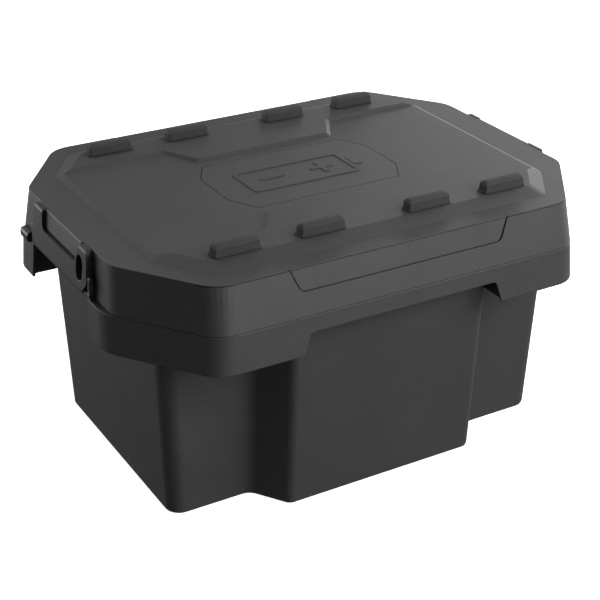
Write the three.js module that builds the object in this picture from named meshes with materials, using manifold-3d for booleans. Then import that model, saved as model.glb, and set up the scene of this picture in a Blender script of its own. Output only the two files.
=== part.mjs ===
// Battery box: a moulded tub with a lift-off lid, a seal, two swinging end latches on hinge rods,
// eight rubber stacking pads and an inlaid badge plate. Millimetres, +Z up, +X along the long side,
// origin at the centre of the footprint, on the ground.
import * as THREE from "three";
import { mergeVertices } from "three/addons/utils/BufferGeometryUtils.js";
import Module from "manifold-3d";

const wasm = await Module();
wasm.setup();

// ---- driving dimensions -------------------------------------------------------------------
const WALL = 3; // moulded wall
const GAP = 0.3; // clearance between pieces that rest on each other

// Heights
const BAND_BOTTOM = 204; // lower edge of the skirt that hangs from the tub's rim
const RIM_TOP = 246; // flange on which the lid rests
const LID_BOTTOM = RIM_TOP + GAP;
const LID_TOP = 296;
const PANEL_TOP = 299.2; // raised middle panel of the lid
const STRIP_TOP = 302.5; // front and back strips that carry the pads

// Octagonal plans: half length, half width, corner cut along X and along Y
const LID_TOP_EDGE = { x: 280, y: 208, cutX: 68, cutY: 96 };
const LID_FOOT_EDGE = { x: 284.7, y: 219.2, cutX: 70, cutY: 96 };
const SKIRT_TOP_EDGE = { x: 291.3, y: 219.2, cutX: 76.6, cutY: 106.2 };
const SKIRT_FOOT_EDGE = { x: 292.9, y: 222.3, cutX: 76.1, cutY: 104.1 };
const SIDE_RADIUS = 34; // plan radius where the cut corners meet the long sides
const SKIRT_END_RADIUS = 46; // and where the tub's skirt meets its flat end pads
const EDGE_ROUND = 0.5; // rounded edge around the lid's top
const RIM_ROUND = 0.8; // and around the top of the tub's skirt

// Tub plan at the ground and at the rim: columns at the corners, a wider bay in the middle
const TUB_FOOT = { x: 238.4, y: 142.5, bayX: 117, bayRootX: 145, bayY: 184 };
const TUB_RIM = { x: 248, y: 149, bayX: 119, bayRootX: 143, bayY: 198.5 };
const TUB_RADIUS = 18;
const BAY_ROOT_RADIUS = 15;
const BAY_RADIUS = 12;
const FOOT_ROUND = 3;
const UPSTAND = 8; // tub wall above the flange

// Skirt cut-outs under the rim (half widths at the lower edge and at the top)
const FRONT_CUT = { foot: 123, top: 114, z: 228.5 };
const END_CUT = { foot: 81, top: 75.5, z: 239 };

// Lid relief
const RELIEF_FOOT = { x: 241.4, y: 184, cutX: 38.4, cutY: 57 };
const RELIEF_EDGE = { x: 226.5, y: 165, cutX: 31, cutY: 46 };
const STRIP_INNER = { side: 120.5, middle: 78, rootX: 111.3, middleX: 87.7 };
const STRIP_SLOPE = 6;
const TOP_GROOVE = { drop: 0.6, width: 0.9, depth: 1.6, y: 188 }; // fine line under the long top edges
const FRONT_RECESS = { top: 133, foot: 122, z: 271, depth: 0.6, groove: 1.4, grooveDepth: 1.6 };
const WINDOW_LIP = { half: 46, z: 275.5, top: 283.6, foot: 286.2 };

// Badge plate
const BADGE = { x: 107, y: 65.5, cutX: 18, cutY: 33 };
const BADGE_THICKNESS = 1.4;
const BADGE_GROOVE = 0.9; // visible gap around the plate
const SYMBOL_HEIGHT = 0.8;

// Stacking pads: centres along X, distance from the centre line, and size
const PAD_X = [-163.5, -65, 65, 163.5];
const PAD_Y = 155;
const PAD = { length: 54.5, width: 13.2, height: 11.5, flange: 1.8, spigot: 7 };

// Latches
const LATCH_TOP = 295.9;
const LATCH_SHOULDER = 3; // rounded outer edge of its top
const LATCH_HALF_TOP = 71;
const LATCH_HALF = 75;
const LATCH_WINDOW = { top: 49, foot: 46.7, eyeSideTop: 52, eyeSideFoot: 42.5, z: 273.8 };
const LATCH_CUT_CORNER = { y: 15, z: 16 }; // cut lower corner of the arm with the eye
const LATCH_EYE = { y: -55.5, half: 7.8, z0: 258.5, z1: 286, chamfer: 0.5 };
const LATCH_GAP = 0.5; // between the lid's end wall and the closed latch
const LATCH_OUTER = { top: 288.2, foot: 292.6 };
const TOOTH = { y0: 54, y1: 66, z0: 288, z1: 292.5, depth: 1.5 };
const AXIS_X = -289; // hinge axis of the left latch
const AXIS_Z = 250;
const BARREL = 3.7;
const ROD_RADIUS = 1.5;
const EAR = { y0: 75.5, y1: 80, x: 290.5, top: 270 };
const ROD_HEAD = { y0: 80.4, y1: 101, x0: -296, x1: -285.3, top: 258 };

// ---- materials ----------------------------------------------------------------------------
function finish(color, roughness, metalness = 0) {
  return new THREE.MeshStandardMaterial({ color, roughness, metalness });
}

// ---- geometry helpers ---------------------------------------------------------------------
// Closed outline with rounded corners; each corner is [x, y, radius].
function outline(corners, steps = 4) {
  const points = [];
  corners.forEach((corner, i) => {
    const [x, y, radius] = corner;
    const before = corners[(i + corners.length - 1) % corners.length];
    const after = corners[(i + 1) % corners.length];
    if (!radius) {
      points.push([x, y]);
      return;
    }
    const here = new THREE.Vector2(x, y);
    const a = new THREE.Vector2(before[0], before[1]).sub(here).normalize();
    const b = new THREE.Vector2(after[0], after[1]).sub(here).normalize();
    const half = Math.acos(THREE.MathUtils.clamp(a.dot(b), -1, 1)) / 2;
    const start = here.clone().addScaledVector(a, radius / Math.tan(half));
    const end = here.clone().addScaledVector(b, radius / Math.tan(half));
    const centre = here.clone().addScaledVector(a.clone().add(b).normalize(), radius / Math.sin(half));
    const from = Math.atan2(start.y - centre.y, start.x - centre.x);
    let turn = Math.atan2(end.y - centre.y, end.x - centre.x) - from;
    if (turn > Math.PI) turn -= 2 * Math.PI;
    if (turn < -Math.PI) turn += 2 * Math.PI;
    for (let k = 0; k <= steps; k++) {
      const angle = from + (turn * k) / steps;
      points.push([centre.x + radius * Math.cos(angle), centre.y + radius * Math.sin(angle)]);
    }
  });
  return points;
}

function circle(x, y, radius) {
  return outline([
    [x - radius, y - radius, radius], [x + radius, y - radius, radius],
    [x + radius, y + radius, radius], [x - radius, y + radius, radius],
  ], 3);
}

// Closed solid through level outlines that all have the same number of points.
function loft(levels) {
  const count = levels[0].points.length;
  const positions = [];
  const indices = [];
  for (const { z, points } of levels) {
    for (const [x, y] of points) positions.push(x, y, z);
  }
  for (let level = 0; level + 1 < levels.length; level++) {
    for (let i = 0; i < count; i++) {
      const a = level * count + i;
      const b = level * count + ((i + 1) % count);
      indices.push(a, b, b + count, a, b + count, a + count);
    }
  }
  const toVectors = (points) => points.map(([x, y]) => new THREE.Vector2(x, y));
  const last = (levels.length - 1) * count;
  for (const [a, b, c] of THREE.ShapeUtils.triangulateShape(toVectors(levels[0].points), [])) {
    indices.push(a, c, b);
  }
  for (const [a, b, c] of THREE.ShapeUtils.triangulateShape(toVectors(levels.at(-1).points), [])) {
    indices.push(last + a, last + b, last + c);
  }
  const geometry = new THREE.BufferGeometry();
  geometry.setAttribute("position", new THREE.Float32BufferAttribute(positions, 3));
  geometry.setIndex(indices);
  return geometry;
}

function prism(points, z0, z1) {
  const clockwise = THREE.ShapeUtils.isClockWise(points.map(([x, y]) => new THREE.Vector2(x, y)));
  const ordered = clockwise ? [...points].reverse() : points;
  return loft([{ z: z0, points: ordered }, { z: z1, points: ordered }]);
}

const alongY = new THREE.Matrix4().makeRotationX(-Math.PI / 2);

// Prism whose outline is drawn in X and Z and which runs along Y.
function prismAlongY(profile, y0, y1) {
  return prism(profile.map(([x, z]) => [x, -z]), y0, y1).applyMatrix4(alongY);
}

// Turns a solid drawn in the ground plane so that it is drawn in Y and Z and runs along X.
const alongX = new THREE.Matrix4().makeBasis(
  new THREE.Vector3(0, 1, 0),
  new THREE.Vector3(0, 0, 1),
  new THREE.Vector3(1, 0, 0),
);

function prismAlongX(profile, x0, x1) {
  return prism(profile, x0, x1).applyMatrix4(alongX);
}

function box(x0, x1, y0, y1, z0, z1) {
  return new THREE.BoxGeometry(x1 - x0, y1 - y0, z1 - z0)
    .translate((x0 + x1) / 2, (y0 + y1) / 2, (z0 + z1) / 2);
}

function solid(geometry) {
  const bare = geometry.clone();
  bare.deleteAttribute("normal");
  bare.deleteAttribute("uv");
  const merged = mergeVertices(bare, 1e-4);
  return new wasm.Manifold(new wasm.Mesh({
    numProp: 3,
    vertProperties: new Float32Array(merged.attributes.position.array),
    triVerts: new Uint32Array(merged.index.array),
  }));
}

function toMesh(name, body, material) {
  const { vertProperties, triVerts } = body.getMesh();
  const geometry = new THREE.BufferGeometry();
  geometry.setAttribute("position", new THREE.Float32BufferAttribute(vertProperties, 3));
  geometry.setIndex(new THREE.BufferAttribute(triVerts, 1));
  const mesh = new THREE.Mesh(geometry, material);
  mesh.name = name;
  return mesh;
}

const mirrorX = new THREE.Matrix4().makeScale(-1, 1, 1);
const mirrorY = new THREE.Matrix4().makeScale(1, -1, 1);
const halfTurn = new THREE.Matrix4().makeRotationZ(Math.PI);

// Mirrored copy of a geometry, with its faces turned the right way out again.
function mirrored(geometry, matrix) {
  const copy = geometry.clone().applyMatrix4(matrix);
  const index = copy.index.array;
  for (let i = 0; i < index.length; i += 3) [index[i + 1], index[i + 2]] = [index[i + 2], index[i + 1]];
  return copy;
}

// Union of a geometry with its mirror images.
function withMirrors(geometry, ...matrices) {
  let all = [geometry];
  for (const matrix of matrices) all = all.concat(all.map((each) => mirrored(each, matrix)));
  return all.map(solid).reduce((sum, next) => sum.add(next));
}

// Union of a geometry at the left end with its copy at the right end, turned by half a turn.
function atBothEnds(geometry) {
  return solid(geometry).add(solid(geometry.clone().applyMatrix4(halfTurn)));
}

function blend(a, b, share) {
  const mixed = {};
  for (const key of Object.keys(a)) mixed[key] = THREE.MathUtils.lerp(a[key], b[key], share);
  return mixed;
}

// ---- shared outlines ----------------------------------------------------------------------
// Octagon moved inwards by inset on every side, with its cut corners kept parallel.
function octagon(edge, inset = 0, radius = SIDE_RADIUS, endRadius = radius, steps = 6) {
  const slant = Math.hypot(1 / edge.cutX, 1 / edge.cutY) - 1 / edge.cutX - 1 / edge.cutY;
  const scale = 1 + inset * slant;
  const x = edge.x - inset;
  const y = edge.y - inset;
  const cutX = edge.cutX * scale;
  const cutY = edge.cutY * scale;
  const r = Math.max(radius - inset, 1);
  const e = Math.max(endRadius - inset, 1);
  return outline([
    [x - cutX, -y, r], [x, -y + cutY, e], [x, y - cutY, e], [x - cutX, y, r],
    [-x + cutX, y, r], [-x, y - cutY, e], [-x, -y + cutY, e], [-x + cutX, -y, r],
  ], steps);
}

// Tub plan at one height, moved inwards by inset.
function tubPlan(z, inset = 0) {
  const plan = blend(TUB_FOOT, TUB_RIM, z / RIM_TOP);
  const rise = plan.bayY - plan.y;
  const run = plan.bayRootX - plan.bayX;
  const shift = (inset * (Math.hypot(rise, run) - run)) / rise;
  const x = plan.x - inset;
  const y = plan.y - inset;
  const bayY = plan.bayY - inset;
  const bayX = plan.bayX - shift;
  const rootX = plan.bayRootX - shift;
  const corner = TUB_RADIUS - inset;
  const root = BAY_ROOT_RADIUS + inset;
  const bay = BAY_RADIUS - inset;
  return outline([
    [-x, -y, corner], [-rootX, -y, root], [-bayX, -bayY, bay], [bayX, -bayY, bay], [rootX, -y, root],
    [x, -y, corner], [x, y, corner], [rootX, y, root], [bayX, bayY, bay], [-bayX, bayY, bay],
    [-rootX, y, root], [-x, y, corner],
  ], 7);
}

// Outer X of the lid's end wall at a height.
function lidEndX(z) {
  return THREE.MathUtils.mapLinear(z, RIM_TOP, LID_TOP, LID_FOOT_EDGE.x, LID_TOP_EDGE.x);
}

// Body of the lid or of a copy moved inwards, up to a height. Its lower edge is slightly rounded,
// so that the parting line reads as a fine groove.
function lidBlock(inset, z0, z1, insetY = inset, footRound = 0.5) {
  const level = (z, extra = 0) => {
    const edge = blend(LID_FOOT_EDGE, LID_TOP_EDGE, (z - RIM_TOP) / (LID_TOP - RIM_TOP));
    edge.y -= insetY - inset;
    return { z, points: octagon(edge, inset + extra) };
  };
  return loft([
    level(z0, footRound),
    level(z0 + footRound),
    level(z1 - EDGE_ROUND),
    level(z1 - EDGE_ROUND * 0.3, EDGE_ROUND * 0.3),
    level(z1, EDGE_ROUND),
  ]);
}

// ---- tub ----------------------------------------------------------------------------------
function tubWalls() {
  // The sides of the bay turn slightly on the way up, so the walls run through several levels.
  const wallLevels = (z0, z1, inset) => {
    const levels = [];
    for (let k = 0; k <= 5; k++) {
      const z = THREE.MathUtils.lerp(z0, z1, k / 5);
      levels.push({ z, points: tubPlan(z, inset) });
    }
    return levels;
  };
  const outer = solid(loft([
    { z: 0, points: tubPlan(0, FOOT_ROUND) },
    { z: FOOT_ROUND * 0.3, points: tubPlan(0, FOOT_ROUND * 0.3) },
    ...wallLevels(FOOT_ROUND, RIM_TOP + UPSTAND, 0),
  ]));
  const inner = solid(loft([
    { z: WALL, points: tubPlan(WALL, WALL + FOOT_ROUND) },
    ...wallLevels(WALL + FOOT_ROUND, RIM_TOP + UPSTAND + 1, WALL),
  ]));
  return { outer, inner };
}

// Cut-outs in the skirt below the rim, and the pockets in which the latches stand.
function skirtCutters() {
  const z0 = BAND_BOTTOM - 5;
  const front = prismAlongY(outline([
    [-FRONT_CUT.foot - 1, z0, 0], [FRONT_CUT.foot + 1, z0, 0],
    [FRONT_CUT.top, FRONT_CUT.z, 6], [-FRONT_CUT.top, FRONT_CUT.z, 6],
  ]), -240, -205);
  const end = prismAlongX(outline([
    [-END_CUT.foot - 1, z0, 0], [END_CUT.foot + 1, z0, 0],
    [END_CUT.top, END_CUT.z, 3], [-END_CUT.top, END_CUT.z, 3],
  ]), -300, -270);
  const pocket = box(-300, AXIS_X + BARREL + 0.6, -EAR.y0, EAR.y0, END_CUT.z - 2, RIM_TOP + 1);
  return withMirrors(front, mirrorY).add(withMirrors(end, mirrorX)).add(withMirrors(pocket, mirrorX));
}

// Webs that tie the skirt to the tub beside each cut-out.
function rimWebs() {
  const z1 = RIM_TOP - RIM_ROUND;
  const frontX = FRONT_CUT.foot + 1;
  const endY = END_CUT.foot + 5;
  return withMirrors(box(frontX, frontX + WALL, -222, -140, BAND_BOTTOM + 1, z1), mirrorX, mirrorY)
    .add(withMirrors(box(240, 290, endY, endY + WALL, BAND_BOTTOM + 1, z1), mirrorX, mirrorY));
}

// Ears that stand beside each latch and carry its hinge rod.
function latchEar() {
  return prismAlongY(outline([
    [-283.5, 238, 0], [-283.5, RIM_TOP - 0.2, 0], [-285.2, RIM_TOP - 0.2, 0], [-285.2, EAR.top - 4, 0],
    [-286, EAR.top, 2], [-EAR.x + 0.3, EAR.top, 2.5], [-EAR.x, RIM_TOP - 1, 0], [-EAR.x, 238, 0],
  ], 3), EAR.y0, EAR.y1);
}

function rodBore() {
  return prismAlongY(circle(AXIS_X, AXIS_Z, ROD_RADIUS + GAP), -90, 90);
}

function buildTub() {
  const { outer, inner } = tubWalls();
  const skirtLevel = (z, inset) => {
    const edge = blend(SKIRT_FOOT_EDGE, SKIRT_TOP_EDGE, (z - BAND_BOTTOM) / (RIM_TOP - BAND_BOTTOM));
    return { z, points: octagon(edge, inset, SIDE_RADIUS, SKIRT_END_RADIUS) };
  };
  const rimBlock = solid(loft([
    skirtLevel(BAND_BOTTOM, 0.6),
    skirtLevel(BAND_BOTTOM + 1, 0),
    skirtLevel(RIM_TOP - RIM_ROUND, 0),
    skirtLevel(RIM_TOP - RIM_ROUND * 0.3, RIM_ROUND * 0.3),
    skirtLevel(RIM_TOP, RIM_ROUND),
  ]));
  const rimHollow = solid(loft([
    skirtLevel(BAND_BOTTOM - 1, WALL),
    skirtLevel(RIM_TOP - WALL - 0.5, WALL),
  ]));
  const skirtZone = solid(loft([
    skirtLevel(BAND_BOTTOM, 0.7),
    skirtLevel(RIM_TOP - RIM_ROUND, 0.7),
  ]));
  return outer
    .add(rimBlock.subtract(rimHollow).subtract(skirtCutters()))
    .add(rimWebs().intersect(skirtZone))
    .subtract(inner)
    .add(withMirrors(latchEar(), mirrorX, mirrorY))
    .subtract(withMirrors(rodBore(), mirrorX));
}

// ---- lid ----------------------------------------------------------------------------------
// Raised middle of the lid up to a height; drop and inset give the hollow underneath it.
function reliefBlock(top, drop, inset) {
  const level = (z) => {
    const share = (z - LID_TOP) / (STRIP_TOP - LID_TOP);
    return { z: z - drop, points: octagon(blend(RELIEF_FOOT, RELIEF_EDGE, share), inset, 14, 14, 3) };
  };
  return solid(loft([level(LID_TOP - 1), level(top)]));
}

// Zone of the raised strip along the front: narrow beside the middle, deeper behind it.
function stripZone(drop, inset) {
  const level = (z) => {
    const back = ((z - PANEL_TOP) / (STRIP_TOP - PANEL_TOP)) * STRIP_SLOPE + inset;
    const shift = back * 0.36;
    const { side, middle, rootX, middleX } = STRIP_INNER;
    return {
      z: z - drop,
      points: outline([
        [-270, -side - back, 0], [-270, -250, 0], [270, -250, 0], [270, -side - back, 0],
        [rootX - shift, -side - back, 5], [middleX - shift, -middle - back, 5],
        [-middleX + shift, -middle - back, 5], [-rootX + shift, -side - back, 5],
      ], 3),
    };
  };
  return loft([level(LID_TOP - 2), level(STRIP_TOP + 1)]);
}

function lidRelief(drop, inset) {
  return reliefBlock(PANEL_TOP, drop, inset)
    .add(reliefBlock(STRIP_TOP, drop, inset).intersect(withMirrors(stripZone(drop, inset), mirrorY)));
}

function frontRecessProfile(grow) {
  const { top, foot, z } = FRONT_RECESS;
  return outline([
    [-foot - grow, z - grow, 8], [foot + grow, z - grow, 8],
    [top + grow + 4, LID_TOP + 9, 0], [-top - grow - 4, LID_TOP + 9, 0],
  ]);
}

// Fine groove just under the lid's top edge, along both long sides.
function topGroove() {
  const { drop, width, depth, y } = TOP_GROOVE;
  const z0 = LID_TOP - drop - width;
  const z1 = LID_TOP - drop;
  const slab = withMirrors(box(-260, 260, -230, -y, z0, z1), mirrorY);
  return slab.subtract(solid(prism(octagon(LID_TOP_EDGE, depth), z0 - 1, z1 + 1)));
}

// Shelf inside the lid's skirt, under which the seal is held.
function sealShelf() {
  const shelf = solid(prism(octagon(LID_FOOT_EDGE, 2.6), 252, 255));
  return shelf.subtract(solid(prism(octagon(LID_FOOT_EDGE, 17), 251, 256)));
}

// Proud lip on each end wall that fills the window of the closed latch. Its top carries the lid's top on.
function windowLips() {
  const { half, z, top, foot } = WINDOW_LIP;
  const profile = prismAlongY([
    [-lidEndX(z) + 1, z], [-foot, z], [-top, LID_TOP - 0.8], [-top + 0.5, LID_TOP],
    [-lidEndX(LID_TOP) + 4, LID_TOP], [-lidEndX(LID_TOP) + 1.5, LID_TOP - 5],
  ], -half - 2, half + 2);
  const face = prismAlongX(outline([
    [-half - 5, LID_TOP + 4, 0], [-half + 5.5, z, 6], [half - 1, z, 6], [half + 1.5, LID_TOP + 4, 0],
  ]), -300, -270);
  const edge = prismAlongY([
    [-lidEndX(LID_TOP) + 4, LID_TOP - 2.5],
    [-lidEndX(LID_TOP - 2.5), LID_TOP - 2.5],
    [-lidEndX(LID_TOP - 0.4), LID_TOP - 0.4],
    [-lidEndX(LID_TOP) + 0.4, LID_TOP],
    [-lidEndX(LID_TOP) + 4, LID_TOP],
  ], -LATCH_HALF_TOP, LATCH_HALF_TOP);
  return atBothEnds(profile).intersect(atBothEnds(face)).add(atBothEnds(edge));
}

function toothPockets() {
  const pocket = (y0, y1) => box(
    -lidEndX(TOOTH.z0) - 3, -lidEndX(TOOTH.z0) + TOOTH.depth + 0.4,
    y0 - 0.8, y1 + 0.8, TOOTH.z0 - 1.2, TOOTH.z1 + 0.8,
  );
  return withMirrors(pocket(TOOTH.y0, TOOTH.y1), mirrorX, mirrorY);
}

function eyeProfile(grow) {
  const { y, half, z0, z1 } = LATCH_EYE;
  const r = half + grow;
  return outline([
    [y - r, z0 - grow, r], [y + r, z0 - grow, r], [y + r, z1 + grow, r], [y - r, z1 + grow, r],
  ], 4);
}

// Cutter for the chamfer around the eye, sheared to follow the latch's sloping outer face.
function eyeChamfer() {
  const { z0, z1, chamfer } = LATCH_EYE;
  const { top, foot } = LATCH_OUTER;
  const slope = (foot - top) / (LATCH_TOP - LATCH_SHOULDER - AXIS_Z);
  const middle = (z0 + z1) / 2;
  const face = -foot + slope * (middle - AXIS_Z);
  const cutter = loft([
    { z: face - 2, points: eyeProfile(chamfer + 2) },
    { z: face + chamfer + 0.5, points: eyeProfile(-0.5) },
  ]);
  return cutter
    .applyMatrix4(alongX)
    .applyMatrix4(new THREE.Matrix4().makeShear(0, 0, 0, 0, slope, 0))
    .translate(-slope * middle, 0, 0);
}

// The eye through the lid's skirt lines up with the one in each latch.
function lidEyes() {
  return atBothEnds(prismAlongX(eyeProfile(0.6), -290, -272));
}

function padSpots() {
  const spots = [];
  for (const side of [-1, 1]) for (const x of PAD_X) spots.push([x, side * PAD_Y]);
  return spots;
}

function buildLid() {
  const shell = solid(lidBlock(0, LID_BOTTOM, LID_TOP));
  const cavity = solid(lidBlock(WALL, LID_BOTTOM - 2, LID_TOP - WALL))
    .add(lidRelief(WALL, WALL));
  const relief = lidRelief(0, 0);

  const { depth, groove: grooveWidth, grooveDepth } = FRONT_RECESS;
  const nearFront = withMirrors(prismAlongY(frontRecessProfile(0), -260, -170), mirrorY);
  const floor = solid(lidBlock(0, LID_BOTTOM - 5, LID_TOP, depth));
  const recess = nearFront.subtract(floor.add(solid(box(-140, 140, -204, 204, 200, 310))));
  const grooveRing = nearFront
    .subtract(withMirrors(prismAlongY(frontRecessProfile(-grooveWidth), -261, -169), mirrorY));
  const grooveFloor = solid(lidBlock(0, LID_BOTTOM - 5, LID_TOP, depth + grooveDepth));
  const groove = grooveRing.subtract(grooveFloor.add(solid(box(-140, 140, -204, 204, 200, 310))));
  const backing = withMirrors(prismAlongY(frontRecessProfile(WALL), -260, -185), mirrorY)
    .intersect(floor)
    .subtract(solid(lidBlock(WALL, LID_BOTTOM - 6, LID_TOP - WALL, WALL + depth + 1)));

  let lid = shell
    .add(relief)
    .subtract(cavity)
    .add(sealShelf())
    .subtract(recess)
    .add(backing)
    .subtract(groove)
    .subtract(topGroove())
    .add(windowLips())
    .subtract(toothPockets())
    .subtract(lidEyes());

  const pocket = prism(
    octagon(BADGE, -BADGE_GROOVE, 1.5, 1.5, 1),
    PANEL_TOP - BADGE_THICKNESS - GAP,
    PANEL_TOP + 1,
  );
  lid = lid.subtract(solid(pocket));
  for (const [x, y] of padSpots()) {
    lid = lid.subtract(solid(box(x - 12.3, x + 12.3, y - 3.3, y + 3.3, LID_TOP - 12, STRIP_TOP + 1)));
  }
  return lid;
}

// ---- seal, badge and pads -----------------------------------------------------------------
function buildSeal() {
  const ring = solid(prism(octagon(LID_FOOT_EDGE, 4.5), RIM_TOP + GAP, 252 - GAP));
  return ring.subtract(solid(prism(octagon(LID_FOOT_EDGE, 14.5), RIM_TOP - 1, 253)));
}

// Octagonal plate with a raised battery symbol: a case outline, its terminal, a plus and a minus.
function buildBadge() {
  const top = PANEL_TOP + SYMBOL_HEIGHT;
  const bar = (x, y, halfX, halfY) => solid(box(
    x - halfX, x + halfX, y - halfY, y + halfY, PANEL_TOP - 0.5, top,
  ));
  const plate = solid(prism(octagon(BADGE, 0, 1.5, 1.5, 1), PANEL_TOP - BADGE_THICKNESS, PANEL_TOP));
  const caseOutline = (grow) => outline([
    [-72 - grow, -30 - grow, 6 + grow], [64 + grow, -30 - grow, 6 + grow],
    [64 + grow, 30 + grow, 6 + grow], [-72 - grow, 30 + grow, 6 + grow],
  ], 3);
  const frame = solid(prism(caseOutline(0), PANEL_TOP - 0.5, top))
    .subtract(solid(prism(caseOutline(-5), PANEL_TOP, top + 1)));
  return plate
    .add(frame)
    .add(bar(70, 0, 5, 12))
    .add(bar(-36, 0, 14, 2.6))
    .add(bar(28, 0, 14, 2.6))
    .add(bar(28, 0, 2.6, 14));
}

// Rubber pad: base flange, bar with chamfered edges, and a spigot through the lid.
function buildPad(x, y) {
  const z = STRIP_TOP + GAP;
  const section = (halfX, halfY, cut) => outline([
    [x - halfX, y - halfY, cut], [x + halfX, y - halfY, cut],
    [x + halfX, y + halfY, cut], [x - halfX, y + halfY, cut],
  ], 2);
  const halfX = PAD.length / 2;
  const halfY = PAD.width / 2;
  const flange = solid(loft([
    { z, points: section(halfX + PAD.flange, halfY + PAD.flange, 4) },
    { z: z + 1.2, points: section(halfX + PAD.flange, halfY + PAD.flange, 4) },
  ]));
  const bar = solid(loft([
    { z: z + 0.5, points: section(halfX, halfY, 3) },
    { z: z + PAD.height - 3, points: section(halfX - 0.6, halfY - 0.8, 3) },
    { z: z + PAD.height, points: section(halfX - 3.6, halfY - 3.8, 2) },
  ]));
  const spigot = solid(box(x - 12, x + 12, y - 3, y + 3, z - PAD.spigot, z + 0.8));
  return flange.add(bar).add(spigot);
}

// ---- latches ------------------------------------------------------------------------------
// The left latch stands upright, closed; its inner face follows the lid's sloping end wall.
function buildLatch() {
  const inner = (z) => -lidEndX(z) - LATCH_GAP;
  const { top, foot } = LATCH_OUTER;
  const plate = prismAlongY([
    [inner(AXIS_Z + 6), AXIS_Z + 6], [inner(LATCH_TOP), LATCH_TOP - 0.4],
    [inner(LATCH_TOP) - 0.4, LATCH_TOP],
    [-top + LATCH_SHOULDER, LATCH_TOP], [-top + LATCH_SHOULDER * 0.4, LATCH_TOP - LATCH_SHOULDER * 0.2],
    [-top, LATCH_TOP - LATCH_SHOULDER],
    [-foot, AXIS_Z], [-foot + 0.6, AXIS_Z - BARREL * 0.7], [-foot + 2, AXIS_Z - BARREL],
    [AXIS_X + BARREL * 0.4, AXIS_Z - BARREL * 0.9], [AXIS_X + BARREL * 0.8, AXIS_Z - BARREL * 0.6],
    [AXIS_X + BARREL, AXIS_Z], [AXIS_X + BARREL, AXIS_Z + 2],
  ], -LATCH_HALF, LATCH_HALF);
  const low = AXIS_Z - BARREL - 1;
  const face = prismAlongX(outline([
    [-LATCH_HALF + LATCH_CUT_CORNER.y, low, 0], [LATCH_HALF - 2, low, 0],
    [LATCH_HALF, low + 6, 4], [LATCH_HALF_TOP, LATCH_TOP + 1, 4],
    [LATCH_WINDOW.top, LATCH_TOP + 1, 0], [LATCH_WINDOW.foot, LATCH_WINDOW.z, 8],
    [-LATCH_WINDOW.eyeSideFoot, LATCH_WINDOW.z, 7], [-LATCH_WINDOW.eyeSideTop, LATCH_TOP + 1, 0],
    [-LATCH_HALF_TOP, LATCH_TOP + 1, 9], [-LATCH_HALF, low + LATCH_CUT_CORNER.z, 3],
  ], 3), -310, -260);
  const teeth = prismAlongY([
    [inner(TOOTH.z0) - 1, TOOTH.z0 - 1], [inner(TOOTH.z0) + TOOTH.depth + 0.4, TOOTH.z0 + 0.3],
    [inner(TOOTH.z0) + TOOTH.depth + 0.4, TOOTH.z1 - 2], [inner(TOOTH.z1) - 1, TOOTH.z1],
  ], TOOTH.y0, TOOTH.y1);
  return solid(plate)
    .intersect(solid(face))
    .add(withMirrors(teeth, mirrorY))
    .subtract(solid(prismAlongX(eyeProfile(0), -310, -260)))
    .subtract(solid(eyeChamfer()))
    .subtract(solid(rodBore()));
}

// Hinge rod; its head outside the far ear is flat below, so that it can't turn on the rim.
function buildRod() {
  const shank = prismAlongY(circle(AXIS_X, AXIS_Z, ROD_RADIUS), -EAR.y1 + 0.5, ROD_HEAD.y0 + 1);
  const { y0, y1, x0, x1, top } = ROD_HEAD;
  const base = RIM_TOP + GAP;
  const head = prismAlongY(outline([[x0, base, 3], [x1, base, 0], [x1, top, 2], [x0, top, 4]], 2), y0, y1);
  return solid(shank).add(solid(head));
}

// ---- assembly -----------------------------------------------------------------------------
const assembly = new THREE.Group();
assembly.name = "battery_box";
assembly.add(toMesh("tub", buildTub(), finish(0x2e2f31, 0.62)));

const lidGroup = new THREE.Group();
lidGroup.add(toMesh("lid", buildLid(), finish(0x333436, 0.6)));
lidGroup.add(toMesh("lid_seal", buildSeal(), finish(0x161616, 0.85)));
lidGroup.add(toMesh("badge_plate", buildBadge(), finish(0x333436, 0.55)));
padSpots().forEach(([x, y], i) => {
  const row = y < 0 ? "front" : "back";
  lidGroup.add(toMesh(`pad_${row}_${(i % PAD_X.length) + 1}`, buildPad(x, y), finish(0x222224, 0.8)));
});
assembly.add(lidGroup);

const latch = buildLatch();
const rod = buildRod();
for (const [side, turn] of [["left", 0], ["right", Math.PI]]) {
  const end = new THREE.Group();
  end.rotation.z = turn;
  end.add(toMesh(`latch_${side}`, latch, finish(0x303133, 0.55)));
  end.add(toMesh(`latch_rod_${side}`, rod, finish(0x3a3b3d, 0.45, 0.6)));
  assembly.add(end);
}

export default assembly;
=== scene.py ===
"""Battery box: finishes, rubber pads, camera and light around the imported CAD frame. Metres, +Z up."""

import math

import bmesh
import bpy
from mathutils import Matrix, Vector


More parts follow.
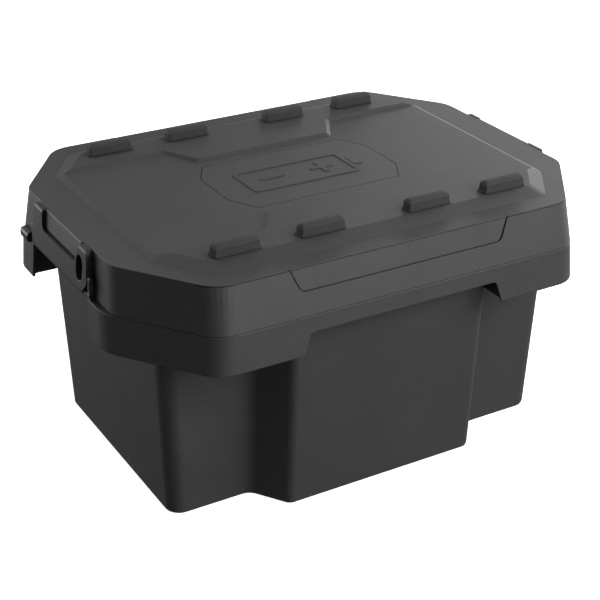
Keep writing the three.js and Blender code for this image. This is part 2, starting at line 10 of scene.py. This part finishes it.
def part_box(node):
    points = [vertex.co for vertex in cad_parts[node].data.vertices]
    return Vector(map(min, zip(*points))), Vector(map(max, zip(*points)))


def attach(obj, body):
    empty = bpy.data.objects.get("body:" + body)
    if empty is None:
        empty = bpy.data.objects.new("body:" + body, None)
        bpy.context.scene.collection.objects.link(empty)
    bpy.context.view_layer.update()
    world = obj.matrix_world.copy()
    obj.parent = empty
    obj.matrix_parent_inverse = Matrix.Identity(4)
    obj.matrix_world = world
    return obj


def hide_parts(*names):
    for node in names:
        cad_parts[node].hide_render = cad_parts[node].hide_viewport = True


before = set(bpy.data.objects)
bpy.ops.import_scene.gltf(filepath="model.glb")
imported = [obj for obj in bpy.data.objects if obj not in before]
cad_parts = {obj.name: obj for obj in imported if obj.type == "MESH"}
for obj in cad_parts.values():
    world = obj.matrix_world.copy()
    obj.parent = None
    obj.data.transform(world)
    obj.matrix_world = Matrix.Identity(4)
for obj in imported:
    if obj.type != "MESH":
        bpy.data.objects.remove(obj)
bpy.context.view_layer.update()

MM = 0.001

# ---- pads (millimetres) ---------------------------------------------------------------------
# height above the base, inset along the length, inset along the width, corner radius
PAD_SECTION = [
    (0.0, 0.3, 0.3, 3.6),
    (0.3, 0.0, 0.0, 3.8),
    (1.0, 0.0, 0.0, 3.8),
    (1.3, 0.4, 0.4, 3.4),
    (1.35, 1.5, 1.5, 1.6),
    (1.7, 1.6, 1.6, 1.5),
    (2.9, 1.6, 1.6, 1.5),
    (3.1, 2.5, 1.7, 1.2),
    (4.0, 2.5, 1.7, 1.2),
    (4.2, 1.7, 1.7, 1.4),
    (5.6, 1.8, 1.8, 1.4),
    (5.8, 2.6, 1.8, 1.2),
    (6.7, 2.6, 1.9, 1.2),
    (6.9, 1.9, 1.9, 1.4),
    (8.6, 2.0, 2.1, 1.4),
    (8.9, 2.2, 2.3, 1.3),
    (11.1, 4.3, 4.1, 0.9),
    (11.4, 4.7, 4.5, 0.8),
    (11.5, 5.2, 5.0, 0.6),
]
PAD_END_GAP = 1.6  # the pad stops this far inside its CAD solid at each end
PAD_HARD_EDGE = 25  # degrees between faces
PAD_CORNER_STEPS = 6

# ---- shading of the CAD pieces --------------------------------------------------------------
SAME_CORNER = 0.01  # millimetres
HARD_EDGE = 15  # degrees between faces; the facets of the round corners are at 9

# ---- colours --------------------------------------------------------------------------------
LID_COLOUR = (0.041, 0.041, 0.042)  # the tub and the badge plate too
LATCH_COLOUR = (0.028, 0.028, 0.029)
PAD_COLOUR = (0.026, 0.026, 0.027)
SEAL_COLOUR = (0.014, 0.014, 0.014)
STEEL_DARK = (0.035, 0.035, 0.037)
STEEL_RUBBED = (0.085, 0.083, 0.08)
FLOOR_LOW = (0.93, 0.93, 0.93)
FLOOR_HIGH = (0.95, 0.95, 0.95)
BLACK = (0.0, 0.0, 0.0, 1.0)
WHITE = (1.0, 1.0, 1.0, 1.0)

# ---- camera ---------------------------------------------------------------------------------
CAMERA_AZIMUTH = -30.23  # degrees, to the left of the front
CAMERA_ELEVATION = 27.17
CAMERA_ROLL = 0.29
CAMERA_OFFSET = (0.001607, 0.12201, 1.77528)  # along its right, up and back axes
CAMERA_LENS = 87.69  # on a 36 mm sensor

# ---- light ----------------------------------------------------------------------------------
WORLD_STRENGTH = 0.105
FLOOR_HALF = 6.0
FLOOR_GLOW = 0.9  # the white floor under the object is lit on its own
BACKDROP_RADIUS = 7.9
SOFTBOX_SIZE = 1.3
SOFTBOX_DISTANCE = 2.6
SOFTBOX_TARGET = (0.0, 0.0, 0.15)
# name, azimuth, elevation, watts
SOFTBOXES = [
    ("key_front_right", 45, 30, 45),
    ("fill_front_right", 22.5, 30, 12),
    ("low_front", 12, 8, 18),
    ("low_right", 98, 8, 33),
    ("high_right", 112.5, 30, 12),
    ("low_right_back", 135, 8, 14),
    ("top_back", 180, 55, 11),
    ("low_back", 202.5, 8, 29),
    ("low_left_back", 225, 8, 15),
]


# ---- mesh helpers ---------------------------------------------------------------------------
def link(name, mesh):
    piece = bpy.data.objects.new(name, mesh)
    bpy.context.collection.objects.link(piece)
    return piece


def rounded_rectangle(half_x, half_y, corner, steps):
    """Closed outline, counter-clockwise, of a rectangle with round corners."""
    corner = min(corner, half_x, half_y)
    points = []
    for k, (sx, sy) in enumerate([(1, -1), (1, 1), (-1, 1), (-1, -1)]):
        start = -math.pi / 2 + k * math.pi / 2
        for i in range(steps + 1):
            angle = start + i * math.pi / 2 / steps
            points.append((
                sx * (half_x - corner) + corner * math.cos(angle),
                sy * (half_y - corner) + corner * math.sin(angle),
            ))
    return points


def loft(name, rings):
    """Closed mesh through rings of points that all have the same count."""
    bm = bmesh.new()
    made = [[bm.verts.new(p) for p in ring] for ring in rings]
    count = len(made[0])
    for low, high in zip(made, made[1:]):
        for i in range(count):
            j = (i + 1) % count
            bm.faces.new((low[i], low[j], high[j], high[i]))
    bm.faces.new(list(reversed(made[0])))
    bm.faces.new(made[-1])
    mesh = bpy.data.meshes.new(name)
    bm.to_mesh(mesh)
    bm.free()
    return link(name, mesh)


def smooth(piece):
    for polygon in piece.data.polygons:
        polygon.use_smooth = True


def sharpen(piece, angle):
    """Keeps the edges sharper than angle, in degrees, as hard edges in the shading."""
    bm = bmesh.new()
    bm.from_mesh(piece.data)
    for edge in bm.edges:
        if len(edge.link_faces) == 2:
            edge.smooth = edge.calc_face_angle(0) < math.radians(angle)
    bm.to_mesh(piece.data)
    bm.free()


def crisp_shading(piece):
    """Shared corners, hard edges where faces meet sharply, and shading that follows the big faces."""
    weld = piece.modifiers.new("shared corners", "WELD")
    weld.merge_threshold = SAME_CORNER * MM
    split = piece.modifiers.new("hard edges", "EDGE_SPLIT")
    split.split_angle = math.radians(HARD_EDGE)
    split.use_edge_sharp = False
    normals = piece.modifiers.new("face normals", "WEIGHTED_NORMAL")
    normals.keep_sharp = False
    normals.weight = 50


# ---- material helpers -----------------------------------------------------------------------
class Nodes:
    """Small wrapper that adds and joins the nodes of one material."""

    def __init__(self, name):
        self.material = bpy.data.materials.new(name)
        self.material.use_nodes = True
        self.tree = self.material.node_tree
        self.shader = self.tree.nodes["Principled BSDF"]
        self.place = self.add("ShaderNodeTexCoord").outputs["Object"]

    def add(self, kind, **settings):
        node = self.tree.nodes.new(kind)
        for key, value in settings.items():
            setattr(node, key, value)
        return node

    def join(self, source, target):
        self.tree.links.new(source, target)

    def noise(self, size_mm, detail=2.0, roughness=0.5, stretch=None):
        """Noise whose features are about size_mm across."""
        texture = self.add("ShaderNodeTexNoise")
        texture.inputs["Scale"].default_value = 1000.0 / size_mm
        texture.inputs["Detail"].default_value = detail
        texture.inputs["Roughness"].default_value = roughness
        place = self.place
        if stretch:
            mapping = self.add("ShaderNodeMapping")
            mapping.inputs["Scale"].default_value = stretch
            self.join(place, mapping.inputs["Vector"])
            place = mapping.outputs["Vector"]
        self.join(place, texture.inputs["Vector"])
        return texture.outputs["Fac"]

    def ramp(self, source, low, high, out_low=0.0, out_high=1.0):
        """Maps source from low..high to out_low..out_high, clamped."""
        node = self.add("ShaderNodeMapRange")
        node.inputs["From Min"].default_value = low
        node.inputs["From Max"].default_value = high
        node.inputs["To Min"].default_value = out_low
        node.inputs["To Max"].default_value = out_high
        self.join(source, node.inputs["Value"])
        return node.outputs["Result"]

    def mix(self, factor, a, b):
        """Colour mix; a and b are colours or sockets."""
        node = self.add("ShaderNodeMix", data_type="RGBA")
        self.join(factor, node.inputs["Factor"])
        for value, socket in ((a, node.inputs["A"]), (b, node.inputs["B"])):
            if isinstance(value, tuple):
                socket.default_value = (*value, 1.0)
            else:
                self.join(value, socket)
        return node.outputs["Result"]

    def math(self, operation, a, b):
        node = self.add("ShaderNodeMath", operation=operation)
        for value, socket in ((a, node.inputs[0]), (b, node.inputs[1])):
            if isinstance(value, (int, float)):
                socket.default_value = value
            else:
                self.join(value, socket)
        return node.outputs[0]

    def bump(self, *layers):
        """Stacks height layers: (socket, height in mm)."""
        normal = None
        for source, height in layers:
            node = self.add("ShaderNodeBump")
            node.inputs["Strength"].default_value = 1.0
            node.inputs["Distance"].default_value = height * MM
            self.join(source, node.inputs["Height"])
            if normal is not None:
                self.join(normal, node.inputs["Normal"])
            normal = node.outputs["Normal"]
        self.join(normal, self.shader.inputs["Normal"])


def moulded_plastic(name, colour, roughness, grain=0.05, specular=0.5):
    """Dark polypropylene from a spark-eroded mould: grain, faint flow marks, a few rubbed patches."""
    nodes = Nodes(name)
    mottle = nodes.noise(70, detail=3.0)
    flow = nodes.noise(14, detail=4.0, roughness=0.6, stretch=(0.35, 1.0, 1.0))
    grain_fine = nodes.noise(0.9, detail=1.0)
    grain_coarse = nodes.noise(2.6, detail=2.0)
    dark = tuple(c * 0.93 for c in colour)
    light = tuple(c * 1.06 for c in colour)
    rubbed = tuple(c * 1.25 + 0.004 for c in colour)
    speck = tuple(c * 1.35 for c in colour)
    base = nodes.mix(nodes.ramp(mottle, 0.3, 0.7), dark, light)
    base = nodes.mix(nodes.ramp(grain_coarse, 0.45, 0.7, 0.0, 0.4), base, speck)
    patches = nodes.math("MULTIPLY", nodes.ramp(mottle, 0.52, 0.7), nodes.ramp(flow, 0.5, 0.65))
    base = nodes.mix(nodes.math("MULTIPLY", patches, 0.35), base, rubbed)
    nodes.join(base, nodes.shader.inputs["Base Color"])
    shine = nodes.ramp(flow, 0.3, 0.7, roughness - 0.012, roughness + 0.012)
    worn_shine = nodes.math("SUBTRACT", shine, nodes.math("MULTIPLY", patches, 0.03))
    nodes.join(worn_shine, nodes.shader.inputs["Roughness"])
    nodes.shader.inputs["Specular IOR Level"].default_value = specular
    nodes.bump((grain_coarse, grain * 1.6), (grain_fine, grain))
    return nodes.material


def rubber(name, colour):
    """Matt black rubber with random patches of bloom and a fine pebbled skin."""
    nodes = Nodes(name)
    bloom = nodes.noise(9, detail=4.0, roughness=0.65)
    pebble = nodes.noise(1.1, detail=2.0)
    bloomed = tuple(c * 1.5 + 0.002 for c in colour)
    base = nodes.mix(nodes.ramp(bloom, 0.4, 0.75), colour, bloomed)
    nodes.join(base, nodes.shader.inputs["Base Color"])
    nodes.join(nodes.ramp(bloom, 0.3, 0.7, 0.7, 0.86), nodes.shader.inputs["Roughness"])
    nodes.bump((pebble, 0.05))
    return nodes.material


def blackened_steel(name):
    """Oxidised steel wire with random rubbed, brighter patches."""
    nodes = Nodes(name)
    patches = nodes.noise(3.5, detail=5.0, roughness=0.6)
    drawn = nodes.noise(0.8, detail=2.0, stretch=(1.0, 0.06, 1.0))
    nodes.shader.inputs["Metallic"].default_value = 0.85
    base = nodes.mix(nodes.ramp(patches, 0.35, 0.7), STEEL_DARK, STEEL_RUBBED)
    nodes.join(base, nodes.shader.inputs["Base Color"])
    nodes.join(nodes.ramp(patches, 0.3, 0.7, 0.38, 0.56), nodes.shader.inputs["Roughness"])
    nodes.bump((drawn, 0.02))
    return nodes.material


def dress(piece, material):
    piece.data.materials.clear()
    piece.data.materials.append(material)


# ---- finishes of the CAD pieces -------------------------------------------------------------
tub_plastic = moulded_plastic("tub_plastic", LID_COLOUR, 0.56)
lid_plastic = moulded_plastic("lid_plastic", LID_COLOUR, 0.55)
latch_plastic = moulded_plastic("latch_plastic", LATCH_COLOUR, 0.56, grain=0.035, specular=0.35)
badge_plastic = moulded_plastic("badge_plastic", LID_COLOUR, 0.54, grain=0.035)
pad_rubber = rubber("pad_rubber", PAD_COLOUR)
seal_rubber = rubber("seal_rubber", SEAL_COLOUR)
rod_metal = blackened_steel("rod_metal")

FINISHES = {
    "tub": tub_plastic,
    "lid": lid_plastic,
    "lid_seal": seal_rubber,
    "badge_plate": badge_plastic,
    "latch_left": latch_plastic,
    "latch_right": latch_plastic,
    "latch_rod_left": rod_metal,
    "latch_rod_right": rod_metal,
}
for node_name, material in FINISHES.items():
    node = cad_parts[node_name]
    dress(node, material)
    smooth(node)
    crisp_shading(node)


# ---- rubber pads ----------------------------------------------------------------------------
def make_pad(node_name):
    """Flange, bar with two grooves across each end, and a chamfered top, inside its CAD solid."""
    low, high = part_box(node_name)
    middle = (low + high) / 2 / MM
    half_x = (high.x - low.x) / 2 / MM - PAD_END_GAP
    half_y = (high.y - low.y) / 2 / MM
    base = high.z / MM - PAD_SECTION[-1][0]
    rings = []
    for height, inset_x, inset_y, corner in PAD_SECTION:
        outline = rounded_rectangle(half_x - inset_x, half_y - inset_y, corner, PAD_CORNER_STEPS)
        rings.append([
            ((middle.x + x) * MM, (middle.y + y) * MM, (base + height) * MM) for x, y in outline
        ])
    pad = loft(node_name + "_rubber", rings)
    smooth(pad)
    sharpen(pad, PAD_HARD_EDGE)
    dress(pad, pad_rubber)
    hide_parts(node_name)
    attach(pad, "cover")


for row in ("front", "back"):
    for number in range(1, 5):
        make_pad(f"pad_{row}_{number}")


# ---- floor, camera and light ----------------------------------------------------------------
def only_for_camera(piece):
    """A piece of the studio that is seen, but that throws no light on the object."""
    piece.visible_diffuse = False
    piece.visible_glossy = False
    piece.visible_shadow = False


def make_floor():
    far = FLOOR_HALF
    mesh = bpy.data.meshes.new("floor")
    corners = [(-far, -far, 0), (far, -far, 0), (far, far, 0), (-far, far, 0)]
    mesh.from_pydata(corners, [], [(0, 1, 2, 3)])
    floor = link("floor", mesh)
    nodes = Nodes("pale_floor")
    nodes.shader.inputs["Roughness"].default_value = 0.95
    nodes.shader.inputs["Specular IOR Level"].default_value = 0.0
    nodes.shader.inputs["Emission Color"].default_value = WHITE
    nodes.shader.inputs["Emission Strength"].default_value = FLOOR_GLOW
    base = nodes.mix(nodes.noise(900, detail=2.0), FLOOR_LOW, FLOOR_HIGH)
    nodes.join(base, nodes.shader.inputs["Base Color"])
    dress(floor, nodes.material)
    only_for_camera(floor)


def make_backdrop():
    """White sphere around the floor."""
    bm = bmesh.new()
    bmesh.ops.create_uvsphere(bm, u_segments=48, v_segments=24, radius=BACKDROP_RADIUS)
    mesh = bpy.data.meshes.new("backdrop")
    bm.to_mesh(mesh)
    bm.free()
    backdrop = link("backdrop", mesh)
    nodes = Nodes("backdrop_white")
    nodes.shader.inputs["Base Color"].default_value = BLACK
    nodes.shader.inputs["Specular IOR Level"].default_value = 0.0
    nodes.shader.inputs["Emission Color"].default_value = WHITE
    nodes.shader.inputs["Emission Strength"].default_value = 1.0
    dress(backdrop, nodes.material)
    only_for_camera(backdrop)


def make_camera():
    azimuth = math.radians(CAMERA_AZIMUTH)
    elevation = math.radians(CAMERA_ELEVATION)
    roll = math.radians(CAMERA_ROLL)
    back = Vector((
        math.sin(azimuth) * math.cos(elevation),
        -math.cos(azimuth) * math.cos(elevation),
        math.sin(elevation),
    ))
    level = Vector((math.cos(azimuth), math.sin(azimuth), 0))
    upright = back.cross(level)
    right = level * math.cos(roll) + upright * math.sin(roll)
    up = upright * math.cos(roll) - level * math.sin(roll)
    data = bpy.data.cameras.new("camera")
    data.lens = CAMERA_LENS
    data.clip_end = 20
    camera = bpy.data.objects.new("camera", data)
    bpy.context.collection.objects.link(camera)
    placed = Matrix((right, up, back)).transposed().to_4x4()
    placed.translation = right * CAMERA_OFFSET[0] + up * CAMERA_OFFSET[1] + back * CAMERA_OFFSET[2]
    camera.matrix_world = placed
    bpy.context.scene.camera = camera


def add_softbox(name, azimuth, elevation, watts):
    """Square softbox that faces the object; azimuth 0 is in front of it and 90 on its right."""
    data = bpy.data.lights.new(name, "AREA")
    data.size = SOFTBOX_SIZE
    data.energy = watts
    light = bpy.data.objects.new(name, data)
    bpy.context.collection.objects.link(light)
    a, e = math.radians(azimuth), math.radians(elevation)
    away = Vector((math.sin(a) * math.cos(e), -math.cos(a) * math.cos(e), math.sin(e)))
    light.location = Vector(SOFTBOX_TARGET) + away * SOFTBOX_DISTANCE
    light.rotation_euler = (-away).to_track_quat("-Z", "Y").to_euler()


def make_world():
    world = bpy.data.worlds.new("studio")
    world.use_nodes = True
    background = world.node_tree.nodes["Background"]
    background.inputs["Color"].default_value = WHITE
    background.inputs["Strength"].default_value = WORLD_STRENGTH
    bpy.context.scene.world = world


make_floor()
make_backdrop()
make_camera()
make_world()
for light_name, azimuth, elevation, watts in SOFTBOXES:
    add_softbox(light_name, azimuth, elevation, watts)

bpy.context.scene.view_settings.view_transform = "Standard"
